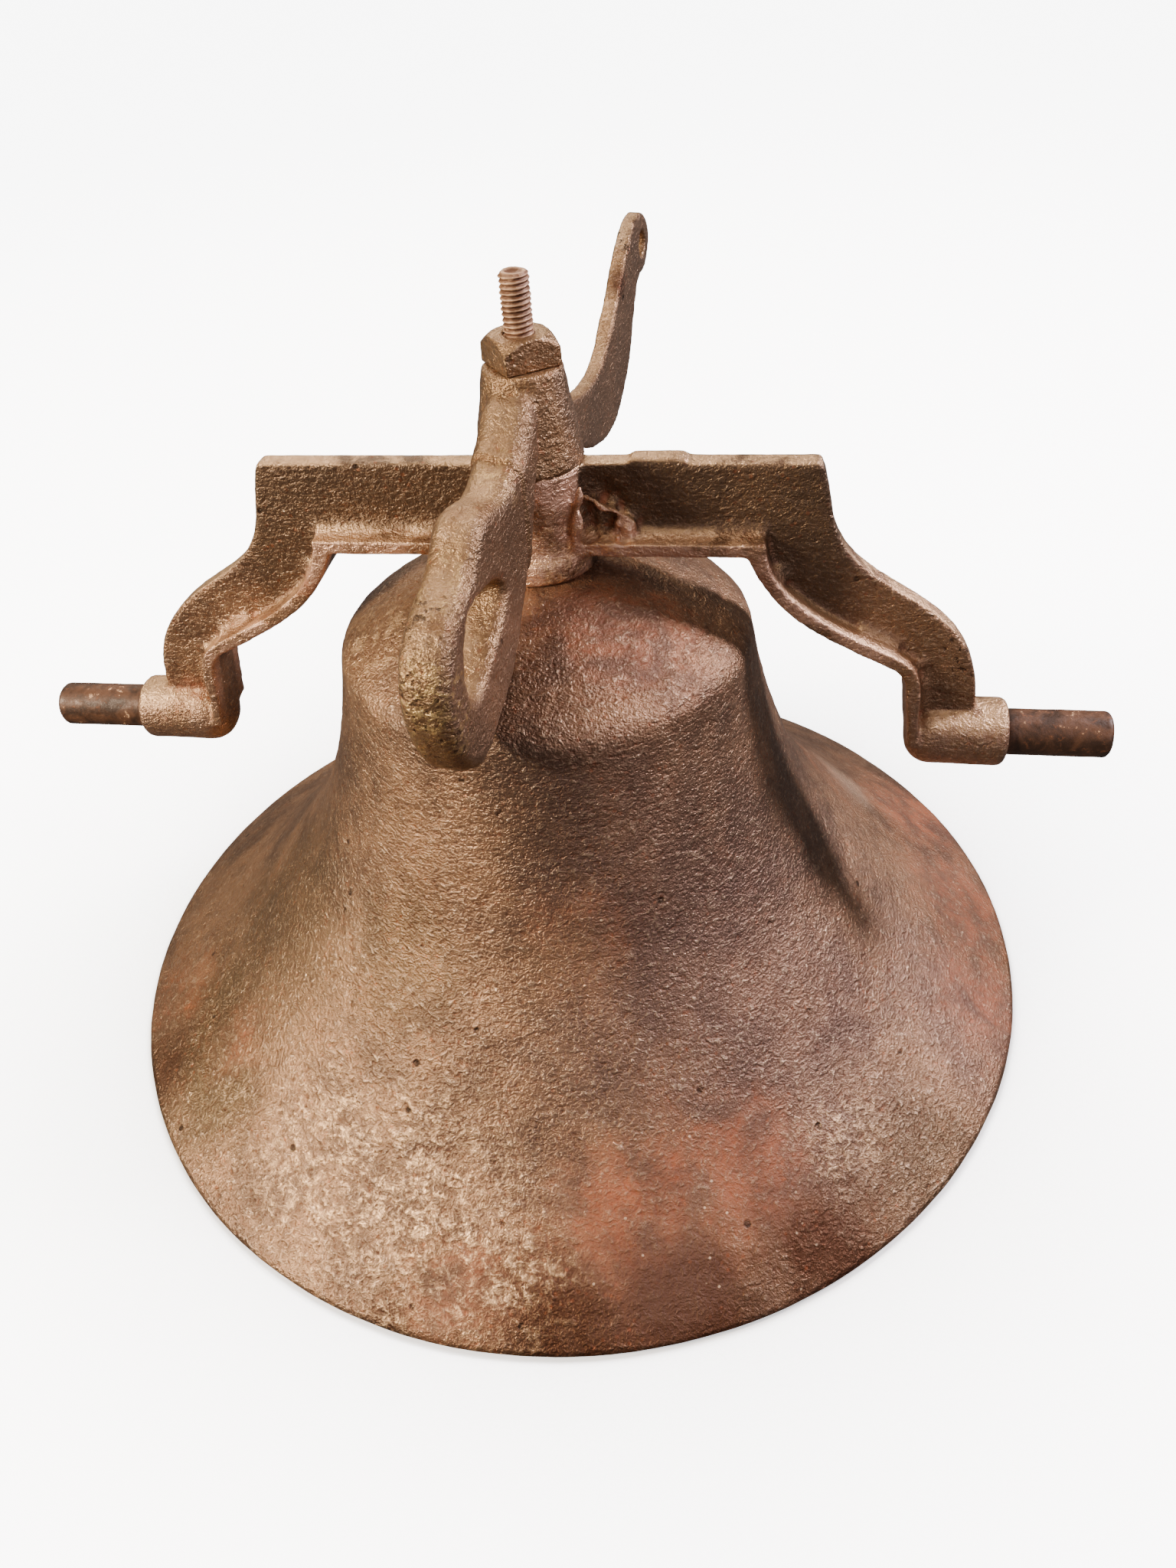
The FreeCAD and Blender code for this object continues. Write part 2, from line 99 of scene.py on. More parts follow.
FLOOR_GLOW = 8.0                # brightness of the floor and of the dome behind it
CONTACT_SHADOW_GLOW = 0.9               # and of the floor where the object crowds it: a painted contact shadow
CORNER_REACH = 0.3              # metres; how far off the object the painted contact shadow reaches
OPEN_SHARE = 0.7                # of open sky below which the painted contact shadow is darkest
FLOOR_GAP = 0.2 * MM            # under the bell's lip
FLOOR_HALF = 9.0                # metres, wide enough to meet the dome
DOME_RADIUS = 8.0               # metres


# ---------------------------------------------------------------- mesh helpers

def new_object(name, mesh):
    piece = bpy.data.objects.new(name, mesh)
    bpy.context.scene.collection.objects.link(piece)
    return piece


def grid_faces(rows, columns, close_rows):
    """Quads of a grid of vertices whose columns run all the way round."""
    faces = []
    for i in range(rows if close_rows else rows - 1):
        low = i * columns
        high = (i + 1) % rows * columns
        for j in range(columns):
            k = (j + 1) % columns
            faces.append((low + j, low + k, high + k, high + j))
    return faces


def finished(mesh, material):
    """Gives a mesh smooth shading, outward normals and its material."""
    shape = bmesh.new()
    shape.from_mesh(mesh)
    bmesh.ops.recalc_face_normals(shape, faces=shape.faces)
    shape.to_mesh(mesh)
    shape.free()
    mesh.polygons.foreach_set("use_smooth", [True] * len(mesh.polygons))
    mesh.materials.clear()
    mesh.materials.append(material)
    mesh.update()


def points_of(mesh):
    places = np.empty(len(mesh.vertices) * 3, np.float32)
    mesh.vertices.foreach_get("co", places)
    return places.reshape(-1, 3).astype(float)


def normals_of(mesh):
    normals = np.empty(len(mesh.vertices) * 3, np.float32)
    mesh.vertices.foreach_get("normal", normals)
    return normals.reshape(-1, 3).astype(float)


def push_out(mesh, height):
    """Moves every vertex along its normal by its own height."""
    moved = points_of(mesh) + normals_of(mesh) * height[:, None]
    mesh.vertices.foreach_set("co", moved.ravel())
    mesh.update()


def uneven(places, layers):
    """Height of a cast skin at each place, from (size in mm, height in mm) noise layers."""
    height = np.zeros(len(places))
    for size, amount in layers:
        scaled = places / (size * MM)
        height += amount * MM * np.array([noise.noise(Vector(p)) for p in scaled])
    return height


def smoothstep(value, low, high):
    t = np.clip((value - low) / (high - low), 0, 1)
    return t * t * (3 - 2 * t)


def cad_copy(node):
    """The CAD piece's mesh, with the vertices its faces share joined again."""
    shape = bmesh.new()
    shape.from_mesh(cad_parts[node].data)
    bmesh.ops.remove_doubles(shape, verts=shape.verts, dist=0.001 * MM)
    return shape


def remeshed(shape, name, voxel, soften):
    """Closes a shape into an even skin of small quads with its edges softened."""
    mesh = bpy.data.meshes.new(name)
    shape.to_mesh(mesh)
    shape.free()
    piece = new_object(name, mesh)
    remesh = piece.modifiers.new("skin", "REMESH")
    remesh.mode = "VOXEL"
    remesh.voxel_size = voxel * MM
    smooth = piece.modifiers.new("soften", "SMOOTH")
    smooth.factor = 0.5
    smooth.iterations = soften
    bpy.context.view_layer.update()
    depsgraph = bpy.context.evaluated_depsgraph_get()
    skin = bpy.data.meshes.new_from_object(piece.evaluated_get(depsgraph))
    piece.modifiers.clear()
    piece.data = skin
    skin.name = name
    return piece


def inside_corners(shape):
    """Square inside corners between web and flange: each edge with its two faces' normals."""
    for edge in shape.edges:
        if len(edge.link_faces) != 2 or edge.is_convex or edge.calc_face_angle(0) < SHARP_CORNER:
            continue
        if any(v.co.z > FLANGE_TOP or abs(v.co.y) > WEB_FACE for v in edge.verts):
            continue
        flange, web = sorted((face.normal.copy() for face in edge.link_faces), key=lambda n: abs(n.y))
        if abs(web.y) > 0.99 and abs(flange.y) < 0.01:
            yield edge, flange, web


def cove_ring(shape, place, rise, web):
    """Section of a cove at one place along a corner: a hollow quarter circle and a root."""
    ring = [shape.verts.new(place - (rise + web) * COVE_BITE)]
    for i in range(COVE_STEPS + 1):
        turn = math.pi / 2 * i / COVE_STEPS
        hollow = web * (1 - math.cos(turn)) + rise * (1 - math.sin(turn))
        ring.append(shape.verts.new(place + hollow * COVE_RADIUS))
    return ring


def add_coves(shape):
    """Fills the inside corners between the yoke's web and flange with a hollow curve."""
    shape.verts.index_update()
    corners = []
    rises = {}
    for edge, flange, web in inside_corners(shape):
        corners.append(([(v.index, v.co.copy()) for v in edge.verts], web))
        for vertex in edge.verts:
            rises[vertex.index] = rises.get(vertex.index, Vector()) + flange
    for ends, web in corners:
        near, far = [cove_ring(shape, place, rises[index].normalized(), web) for index, place in ends]
        for i in range(len(near)):
            k = (i + 1) % len(near)
            shape.faces.new((near[i], near[k], far[k], far[i]))
        shape.faces.new(near)
        shape.faces.new(list(reversed(far)))
    bmesh.ops.recalc_face_normals(shape, faces=shape.faces)


def casting(node, name, material, voxel, soften, layers, extra=None, lumps=(), coves=False):
    """A CAD piece with the soft edges and uneven skin of rough iron. voxel is in mm.

    extra gives each place an added height, and lumps are round lumps joined to the shape first.
    """
    shape = cad_copy(node)
    if coves:
        add_coves(shape)
    for place, size, turn in lumps:
        matrix = Matrix.LocRotScale(Vector(place) * MM, turn, Vector(size) * MM)
        bmesh.ops.create_icosphere(shape, subdivisions=3, radius=1.0, matrix=matrix)
    piece = remeshed(shape, name, voxel, soften)
    mesh = piece.data
    places = points_of(mesh)
    height = uneven(places, layers)
    if extra:
        height += extra(places)
    push_out(mesh, height)
    finished(mesh, material)
    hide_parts(node)
    return piece


# ---------------------------------------------------------------- materials

class Tree:
    """One material's nodes, built with short calls. Sizes are in millimetres."""

    def __init__(self, name):
        self.material = bpy.data.materials.new(name)
        self.material.use_nodes = True
        self.nodes = self.material.node_tree.nodes
        self.nodes.clear()
        coordinates = self.add("ShaderNodeTexCoord")
        self.place = coordinates.outputs["Object"]
        self.normal = coordinates.outputs["Normal"]
        self.pointiness = self.add("ShaderNodeNewGeometry").outputs["Pointiness"]

    def add(self, kind, inputs=None, **settings):
        node = self.nodes.new(kind)
        for key, value in settings.items():
            setattr(node, key, value)
        for key, value in (inputs or {}).items():
            self.put(node.inputs[key], value)
        return node

    def put(self, socket, value):
        if isinstance(value, bpy.types.NodeSocket):
            self.material.node_tree.links.new(value, socket)
        else:
            socket.default_value = value

    def math(self, operation, a, b=0.0):
        return self.add("ShaderNodeMath", {0: a, 1: b}, operation=operation).outputs[0]

    def noise(self, size, detail=4.0, rough=0.55, warp=0.0, stretch=None):
        place = self.place
        if stretch:
            place = self.add("ShaderNodeVectorMath", {0: place, 1: stretch},
                             operation="MULTIPLY").outputs[0]
        node = self.add("ShaderNodeTexNoise", {
            "Vector": place, "Scale": 1 / (size * MM), "Detail": detail,
            "Roughness": rough, "Distortion": warp})
        return node.outputs[0]

    def cells(self, size):
        node = self.add("ShaderNodeTexVoronoi", {"Vector": self.place, "Scale": 1 / (size * MM)})
        return node.outputs["Distance"]

    def between(self, value, low, high, to_low=0.0, to_high=1.0):
        """Soft step from to_low at low to to_high at high."""
        node = self.add("ShaderNodeMapRange", {
            "Value": value, "From Min": low, "From Max": high,
            "To Min": to_low, "To Max": to_high}, interpolation_type="SMOOTHSTEP")
        return node.outputs[0]

    def blend(self, factor, a, b):
        """Goes from colour a to colour b as factor goes from 0 to 1."""
        node = self.add("ShaderNodeMix", data_type="RGBA")
        self.put(node.inputs[0], factor)
        self.put(node.inputs[6], a)
        self.put(node.inputs[7], b)
        return node.outputs[2]

    def facing(self, axis):
        """How far the skin faces along an axis of the frame, -1 to 1."""
        return self.add("ShaderNodeSeparateXYZ", {"Vector": self.normal}).outputs[axis]

    def both(self, a, b):
        return self.math("MULTIPLY", a, b)

    def either(self, a, b):
        return self.math("MAXIMUM", a, b)

    def spot(self, centre, radius):
        """1 inside a ragged round patch about a place in millimetres."""
        centre = Vector(centre) * MM
        away = self.add("ShaderNodeVectorMath", {0: self.place, 1: centre},
                        operation="DISTANCE").outputs["Value"]
        edge = self.noise(radius * 0.5, 5.0, 0.6)
        edge = self.math("MULTIPLY", self.math("SUBTRACT", edge, 0.5), radius * MM)
        return self.between(self.math("ADD", away, edge), radius * 1.1 * MM, radius * 0.2 * MM)

    def spots(self, patches):
        """Ragged patches, each (place in mm, radius in mm, share)."""
        mask = 0.0
        for centre, radius, share in patches:
            mask = self.either(self.both(self.spot(centre, radius), share), mask)
        return mask

    def bumps(self, layers):
        """Chains bumps given as (height socket, strength, distance in mm)."""
        normal = None
        for height, strength, distance in layers:
            inputs = {"Height": height, "Strength": strength, "Distance": distance * MM}
            if normal:
                inputs["Normal"] = normal
            normal = self.add("ShaderNodeBump", inputs).outputs[0]
        return normal

    def finish(self, colour, metallic, roughness, normal):
        shader = self.add("ShaderNodeBsdfPrincipled", {
            "Base Color": colour, "Metallic": metallic, "Roughness": roughness,
            "Normal": normal})
        output = self.add("ShaderNodeOutputMaterial")
        self.put(output.inputs["Surface"], shader.outputs[0])
        return self.material


def rgb(red, green, blue):
    """A colour as it looks on a screen, 0 to 255, turned into linear light."""
    linear = []
    for value in (red, green, blue):
        value /= 255
        linear.append(value / 12.92 if value < 0.04045 else ((value + 0.055) / 1.055) ** 2.4)
    return (*linear, 1.0)


WARM_PAINT = rgb(162, 126, 96)
DULL_PAINT = rgb(114, 90, 72)
# pale paint, also laid as painted highlight and painted glints
PALE_PAINT_AND_HIGHLIGHT = rgb(240, 208, 174)
# painted shade laid on the bell: olive on its dim flanks and lip, mauve on its dim front and right
OLIVE_SHADE = rgb(98, 80, 56)
MAUVE_SHADE = rgb(106, 84, 78)
# chalky paint, also the painted highlight on whatever faces up
CHALK_AND_HIGHLIGHT = rgb(255, 212, 162)
YELLOW_CHALK = rgb(242, 206, 138)
RUST_RED = rgb(156, 82, 46)
RUST_BROWN = rgb(96, 56, 36)
RUST_ORANGE = rgb(196, 98, 36)
GRIME = rgb(74, 44, 27)
SOOT = rgb(34, 22, 14)
# painted shade on the yoke's web
WEB_SHADE = rgb(90, 74, 58)
# pale pink paint with a painted highlight, for the yoke's flange
FLANGE_PAINT_AND_HIGHLIGHT = rgb(240, 192, 162)
LEVER_PAINT = rgb(134, 106, 70)
# painted shade on the lever's flat sides
LEVER_SIDE_SHADE = rgb(118, 98, 84)
STEEL_DARK = rgb(58, 40, 28)
STEEL_BROWN = rgb(92, 62, 42)
STEEL_RUST = rgb(134, 82, 50)
BOLT_BROWN = rgb(150, 104, 74)
OLD_PAINT = rgb(196, 158, 122)
PALE_CREST = rgb(226, 186, 150)


def yoke_coat_and_light(tree, colour, cloudy):
    """Painted shade on the web, pale paint and painted highlight on the flange and the boss, and painted
    highlight on whatever faces up.
    """
    place = tree.add("ShaderNodeSeparateXYZ", {"Vector": tree.place})
    forward = tree.math("ABSOLUTE", place.outputs["Y"])
    aside = tree.math("ABSOLUTE", place.outputs["X"])
    # painted shade on the web between the flanges, fainter out along the arms
    web = tree.both(tree.between(forward, WEB_FACE + 2.0 * MM, WEB_FACE),
                    tree.between(aside, ARM_START + 14 * MM, ARM_START, 0.1, 1.0))
    colour = tree.blend(tree.both(web, 0.72), colour, WEB_SHADE)
    # the flange and bosses: pale paint with a painted highlight along the flange
    flange = tree.both(tree.between(forward, WEB_FACE, WEB_FACE + 3 * MM),
                       tree.between(cloudy, 0.62, 0.45))
    flange = tree.both(flange, tree.between(aside, PIN_BOSS_START, PIN_BOSS_START - 4 * MM, 0.25, 1.0))
    colour = tree.blend(tree.both(flange, 0.7), colour, FLANGE_PAINT_AND_HIGHLIGHT)
    # painted highlight on whatever faces up
    lit_from_above = tree.both(tree.between(tree.facing("Z"), 0.35, 0.85), tree.between(cloudy, 0.62, 0.48))
    return tree.blend(tree.both(lit_from_above, 0.5), colour, CHALK_AND_HIGHLIGHT)


def lever_coat_and_light(tree, colour, cloudy):
    """Yellower paint than the bell's, and smooth grey-brown painted shade on the lever's flat sides."""
    colour = tree.blend(0.45, colour, LEVER_PAINT)
    # painted shade on the lever's flat sides
    side = tree.between(tree.math("ABSOLUTE", tree.facing("X")), 0.7, 0.95)
    colour = tree.blend(tree.both(side, 0.5), colour, LEVER_SIDE_SHADE)
    # painted highlight on whatever faces up
    lit_from_above = tree.both(tree.between(tree.facing("Z"), 0.5, 0.9), tree.between(cloudy, 0.60, 0.48))
    return tree.blend(tree.both(lit_from_above, 0.15), colour, CHALK_AND_HIGHLIGHT)


def worn_paint_and_light(tree, mixed, relief, tints):
    """Aluminium paint: duller and warmer clouds, tinted patches that carry painted shade and painted
    highlight, pale crests that are partly painted glints, and brown hollows.
    """
    colour = tree.blend(tree.between(mixed, 0.38, 0.64), DULL_PAINT, WARM_PAINT)
    # each tint patch lays painted shade, a painted highlight or a rust-brown mottle
    for tint, patches in tints:
        colour = tree.blend(tree.spots(patches), colour, tint)
    # pale crests: partly paler paint, partly painted glints where the grain catches light
    colour = tree.blend(tree.between(relief, 0.52, 0.68, 0.0, 0.42), colour, PALE_PAINT_AND_HIGHLIGHT)
    return tree.blend(tree.between(relief, 0.47, 0.32, 0.0, 0.65), colour, RUST_BROWN)


def rust_colour(tree, cloudy):
    """Brown to red rust with orange blooms."""
    rust = tree.blend(tree.between(cloudy, 0.36, 0.64), RUST_BROWN, RUST_RED)
    bloom = tree.between(tree.noise(6, 5.0, 0.65), 0.62, 0.72)
    return tree.blend(tree.both(bloom, 0.6), rust, RUST_ORANGE)


def bare_iron(tree, mixed, relief, stains, wear):
    """Where rust shows: worn places, stained patches and sharp hollows."""
    worn = tree.math("ADD", tree.both(mixed, 0.7), tree.both(tree.noise(4.5, 5.0, 0.65), 0.3))
    bare = tree.between(worn, 0.66 - wear * 0.2, 0.76 - wear * 0.2, 0.0, 0.45)
    if stains:
        patch = tree.both(tree.spots(stains), tree.between(relief, 0.64, 0.36, 0.5, 0.85))
        bare = tree.either(bare, patch)
    hollow = tree.between(tree.pointiness, 0.49, 0.44)
    return tree.either(bare, tree.both(hollow, 0.6))


def chalk_crust(tree, relief, chalk):
    """Flaky, bleached paint inside the chalk patches."""
    flaky = tree.between(tree.noise(5.5, 7.0, 0.75, 0.8, stretch=(1.0, 1.0, 1.5)), 0.46, 0.62)
    crests = tree.between(relief, 0.38, 0.60, 0.1, 0.95)
    return tree.both(tree.both(tree.spots(chalk), flaky), crests)


def dark_pits(tree, cloudy, pocked):
    """Scattered round pits, and crowds of them inside the pocked patches."""
    pits = tree.both(tree.between(tree.cells(13), 0.13, 0.07), tree.between(cloudy, 0.52, 0.6))
    if pocked:
        holes = tree.between(tree.noise(2.6, 4.0, 0.6), 0.56, 0.62)
        pits = tree.either(pits, tree.both(tree.spots(pocked), holes))
    return pits


def painted_iron(name, stains=(), chalk=(), brown=(), tints=(), pocked=(), coat_and_light=None, dust=CHALK_AND_HIGHLIGHT, wear=0.3):
    """Worn aluminium paint on sand-cast iron: soft rust stains, chalky crests, dark pits, and painted light
    and shade.

    Patches are lists of (place in mm, radius in mm, share), and tints are (colour, patches), some
    of them painted shade and painted highlight. coat adds what one casting alone has, with its
    painted light and shade.
    """
    tree = Tree(name)
    broad = tree.noise(60, 3.0, 0.5, 0.3)
    cloudy = tree.noise(17, 5.0, 0.6, 0.4)
    ripple = tree.noise(3.0, 3.0, 0.55, 0.8, stretch=(1.0, 1.0, 1.8))
    sand = tree.noise(1.2, 3.0, 0.6, 0.2)
    fine = tree.noise(0.6, 2.0, 0.5)
    relief = tree.math("ADD", tree.both(ripple, 0.55), tree.both(sand, 0.45))
    mixed = tree.math("ADD", tree.both(broad, 0.5), tree.both(cloudy, 0.5))

    colour = worn_paint_and_light(tree, mixed, relief, tints)
    if coat_and_light:
        colour = coat_and_light(tree, colour, cloudy)
    rust = rust_colour(tree, cloudy)
    bare = bare_iron(tree, mixed, relief, stains, wear)
    colour = tree.blend(bare, colour, rust)
    if brown:
        grime = tree.both(tree.spots(brown), tree.between(cloudy, 0.30, 0.56, 0.65, 0.95))
        colour = tree.blend(grime, colour, GRIME)
    if chalk:
        colour = tree.blend(chalk_crust(tree, relief, chalk), colour, dust)

    rusty = tree.both(tree.between(tree.cells(3.6), 0.26, 0.12), tree.between(cloudy, 0.42, 0.58))
    colour = tree.blend(tree.both(rusty, 0.35), colour, rust)
    specks = tree.both(tree.between(tree.cells(6.5), 0.10, 0.05), tree.between(broad, 0.5, 0.6))
    colour = tree.blend(tree.both(specks, 0.6), colour, PALE_PAINT_AND_HIGHLIGHT)
    pits = dark_pits(tree, cloudy, pocked)
    colour = tree.blend(tree.both(pits, 0.85), colour, SOOT)

    metallic = tree.between(bare, 0.0, 0.8, 0.78, 0.2)
    roughness = tree.math("ADD", tree.between(bare, 0.0, 0.8, 0.36, 0.58),
                          tree.between(relief, 0.3, 0.7, 0.06, -0.06))
    normal = tree.bumps([(relief, 0.95, 1.4), (fine, 0.35, 0.25),
                         (tree.math("SUBTRACT", 1.0, pits), 0.6, 0.9)])
    return tree.finish(colour, metallic, roughness, normal)


def rusty_steel(name, flecks, shine=0.25, crests=0.0):
    """Brown rusted steel with a few flecks of old paint. crests is how much paler its sharp edges are made.
    """
    tree = Tree(name)
    cloudy = tree.noise(9, 5.0, 0.6, 0.5)
    speck = tree.noise(2.2, 5.0, 0.65)
    fine = tree.noise(0.7, 4.0, 0.6)
    colour = tree.blend(tree.between(cloudy, 0.38, 0.62), STEEL_DARK, STEEL_BROWN)
    if crests:
        colour = tree.blend(0.3, colour, BOLT_BROWN)
    colour = tree.blend(tree.between(speck, 0.55, 0.72, 0.0, 0.6), colour, STEEL_RUST)
    left = tree.math("ADD", tree.both(cloudy, 0.55), tree.both(speck, 0.45))
    paint = tree.between(left, 0.66 - flecks * 0.2, 0.69 - flecks * 0.2)
    colour = tree.blend(tree.both(paint, 0.85), colour, OLD_PAINT)
    if crests:
        # paler on sharp crests
        worn = tree.between(tree.pointiness, 0.48, 0.58)
        colour = tree.blend(tree.both(worn, crests), colour, PALE_CREST)
    roughness = tree.between(speck, 0.3, 0.7, 0.40, 0.68)
    normal = tree.bumps([(cloudy, 0.4, 0.5), (speck, 0.5, 0.35), (fine, 0.35, 0.15)])
    return tree.finish(colour, tree.between(cloudy, 0.3, 0.7, shine, shine * 0.3), roughness, normal)


# ---------------------------------------------------------------- the bell

def turned_outline(node):
    """Where a half plane through the axis cuts a turned piece: (radius, height) in order."""
    along = Vector((math.cos(SECTION_TURN), math.sin(SECTION_TURN), 0))
    shape = cad_copy(node)
    everything = shape.verts[:] + shape.edges[:] + shape.faces[:]
    cut = bmesh.ops.bisect_plane(shape, geom=everything, plane_co=(0, 0, 0),
                                 plane_no=UP.cross(along), dist=1e-7)["geom_cut"]
    edges = [e for e in cut if isinstance(e, bmesh.types.BMEdge)
             and all(v.co.dot(along) > 0 for v in e.verts)]
    links = {}
    for edge in edges:
        a, b = edge.verts
        links.setdefault(a, []).append(b)
        links.setdefault(b, []).append(a)
    start = max(links, key=lambda v: (round(-v.co.z, 5), v.co.dot(along)))
    before, here = start, max(links[start], key=lambda v: v.co.z)
    outline = [start]
    while here is not start:
        outline.append(here)
        ahead = [v for v in links[here] if v is not before]
        before, here = here, ahead[0]
    places = np.array([(math.hypot(v.co.x, v.co.y), v.co.z) for v in outline])
    shape.free()
    return places


def smooth_run(points, step):
    """A cubic curve through the points of one run between two corners, in even steps."""
    lengths = np.r_[0, np.cumsum(np.hypot(*np.diff(points, axis=0).T))]
    slopes = np.empty_like(points)
    slopes[1:-1] = (points[2:] - points[:-2]) / (lengths[2:] - lengths[:-2])[:, None]
    slopes[0] = (points[1] - points[0]) / (lengths[1] - lengths[0])
    slopes[-1] = (points[-1] - points[-2]) / (lengths[-1] - lengths[-2])
    count = max(2, int(round(lengths[-1] / step)) + 1)
    at = np.linspace(0, lengths[-1], count)
    i = np.clip(np.searchsorted(lengths, at, side="right") - 1, 0, len(points) - 2)
    span = lengths[i + 1] - lengths[i]
    t = ((at - lengths[i]) / span)[:, None]
    span = span[:, None]
    return ((2 * t**3 - 3 * t**2 + 1) * points[i] + (t**3 - 2 * t**2 + t) * span * slopes[i]
            + (3 * t**2 - 2 * t**3) * points[i + 1] + (t**3 - t**2) * span * slopes[i + 1])


def bell_outline():
    """The CAD bell's section as even steps, fine outside and coarser inside."""
    points = turned_outline("bell_casting")
    ahead = np.roll(points, -1, axis=0) - points
    behind = points - np.roll(points, 1, axis=0)
    turn = np.degrees(np.arctan2(np.cross(behind, ahead), (ahead * behind).sum(1)))
    corners = [i for i in range(len(points)) if abs(turn[i]) > CORNER_TURN]
    if 0 not in corners:
        corners.insert(0, 0)
    top = int(np.argmax(points[:, 1]))
    rings = []
    for a, b in zip(corners, corners[1:] + [len(points)]):
        run = np.vstack([points[a:b], points[b % len(points)]])
        step = OUTSIDE_STEP if (a + b) / 2 < top + 1 else INSIDE_STEP
        rings.append(smooth_run(run, step)[:-1])
    return np.vstack(rings)


def crack_groove(places):
    """A broken hairline groove round the crown's edge."""
    radius = np.hypot(places[:, 0], places[:, 1])
    angle = np.arctan2(places[:, 1], places[:, 0])
    wander = 0.9 * MM * np.sin(angle * 5 + 0.6) + 0.5 * MM * np.sin(angle * 17)
    near = np.exp(-((radius - CRACK_RADIUS - wander) / CRACK_WIDTH) ** 2)
    on_crown = smoothstep(places[:, 2], 170 * MM, 172 * MM)
    open_part = smoothstep(np.cos(angle + math.radians(48)), -0.1, 0.35)
    return -CRACK_DEPTH * near * on_crown * open_part


def bell_shell(material):
    outline = bell_outline()
    angles = np.arange(BELL_SEGMENTS) * 2 * math.pi / BELL_SEGMENTS
    radius, height = outline.T
    places = np.stack([np.outer(radius, np.cos(angles)), np.outer(radius, np.sin(angles)),
                       np.repeat(height[:, None], BELL_SEGMENTS, axis=1)], axis=2).reshape(-1, 3)
    mesh = bpy.data.meshes.new("bell_shell")
    mesh.from_pydata(places.tolist(), [], grid_faces(len(outline), BELL_SEGMENTS, True))
    finished(mesh, material)
    skin = uneven(places, [(70, 0.55), (24, 0.35), (9, 0.22), (4, 0.16)])
    skin *= smoothstep(places[:, 2], 0, 4 * MM)
    skin += crack_groove(places)
    push_out(mesh, skin)
    piece = new_object("bell_shell", mesh)
    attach(piece, "bell")
    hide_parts("bell_casting")


# ---------------------------------------------------------------- bolt

def thread_rings(start, tip):
    """Rings of places up the thread from start, with its last turn chamfered."""
    rows = int((tip - start) / THREAD_PITCH * THREAD_ROWS)
    angles = np.arange(THREAD_STEPS) / THREAD_STEPS
    turn = angles * 2 * math.pi
    places = []
    for i in range(rows + 1):
        z = start + (tip - start) * i / rows
        phase = (z / THREAD_PITCH - angles) % 1.0
        cut = THREAD_DEPTH * np.clip(1.25 * np.abs(2 * phase - 1) - 0.1, 0, 1)
        chamfered = BOLT_RADIUS - max(0.0, z - tip + TIP_CHAMFER) * 0.9
        radius = np.minimum(BOLT_RADIUS - cut, chamfered)
        places += list(zip(radius * np.cos(turn), radius * np.sin(turn), np.full(THREAD_STEPS, z)))
    return places


def tip_rings(tip):
    """Shrinking rings down into the bolt's hollow, rusted end."""
    places = []
    for share, depth in TIP_RINGS:
        for turn in np.arange(THREAD_STEPS) / THREAD_STEPS * 2 * math.pi:
            places.append((share * BOLT_RADIUS * math.cos(turn), share * BOLT_RADIUS * math.sin(turn),
                           tip - depth * MM))
    return places


def bolt_thread(material):
    """The bolt's threaded end, from inside the nut to its rusted tip."""
    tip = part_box("clapper_bolt")[1].z
    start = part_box("square_nut")[0].z + THREAD_FOOT
    places = thread_rings(start, tip) + tip_rings(tip)
    rows = len(places) // THREAD_STEPS
    faces = grid_faces(rows, THREAD_STEPS, False)
    faces.append(tuple(range((rows - 1) * THREAD_STEPS, rows * THREAD_STEPS)))
    faces.append(tuple(reversed(range(THREAD_STEPS))))
    mesh = bpy.data.meshes.new("bolt_thread")
    mesh.from_pydata(places, [], faces)
    finished(mesh, material)
    push_out(mesh, uneven(np.array(places), [(3.0, 0.25), (1.0, 0.12)]))
    piece = new_object("bolt_thread", mesh)
    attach(piece, "bell")
    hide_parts("clapper_bolt")


def bolt_shank(material):
    """The rest of the bolt: plain shank, collar and fork."""
    cut_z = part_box("square_nut")[0].z + SHANK_END
    shape = cad_copy("clapper_bolt")
    everything = shape.verts[:] + shape.edges[:] + shape.faces[:]
    bmesh.ops.bisect_plane(shape, geom=everything, plane_co=(0, 0, cut_z), plane_no=UP,
                           clear_outer=True)
    bmesh.ops.holes_fill(shape, edges=[e for e in shape.edges if e.is_boundary])
    piece = remeshed(shape, "bolt_shank", voxel=0.6, soften=3)
    mesh = piece.data
    push_out(mesh, uneven(points_of(mesh), [(6, 0.12), (2, 0.06)]))
    finished(mesh, material)
    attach(piece, "bell")
    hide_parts("clapper_bolt")


# ---------------------------------------------------------------- lever and yoke

def lever_marks(places):
    """The curved step across the lever's front arm, and nothing behind the hub."""
    back = places[:, 0] * math.sin(LEVER_TURN) + places[:, 1] * math.cos(LEVER_TURN)
    front = smoothstep(-back, 14 * MM, 18 * MM)
    arch = COLLAR_ARCH * np.cos(places[:, 0] / (6 * MM))
    return front * smoothstep(back + arch, COLLAR_EDGE - 1.2 * MM, COLLAR_EDGE) * COLLAR_RISE


def boss_scar(places):
    """The rough, broken skin beside the yoke's centre boss."""
    away = np.linalg.norm(places - np.array(SCAR_PLACE) * MM, axis=1)
    rough = smoothstep(away, 17 * MM, 5 * MM)
    return rough * (uneven(places, [(9, 2.6), (3.5, 1.5)]) - 0.6 * MM)


# ---------------------------------------------------------------- stage

def set_piece(name, shape, material):
    """Part of the set round the object. The camera sees it, and it lights nothing."""
    mesh = bpy.data.meshes.new(name)
    shape.to_mesh(mesh)
    shape.free()
    mesh.materials.append(material)
    piece = new_object(name, mesh)
    piece.visible_diffuse = False
    piece.visible_glossy = False
    return piece


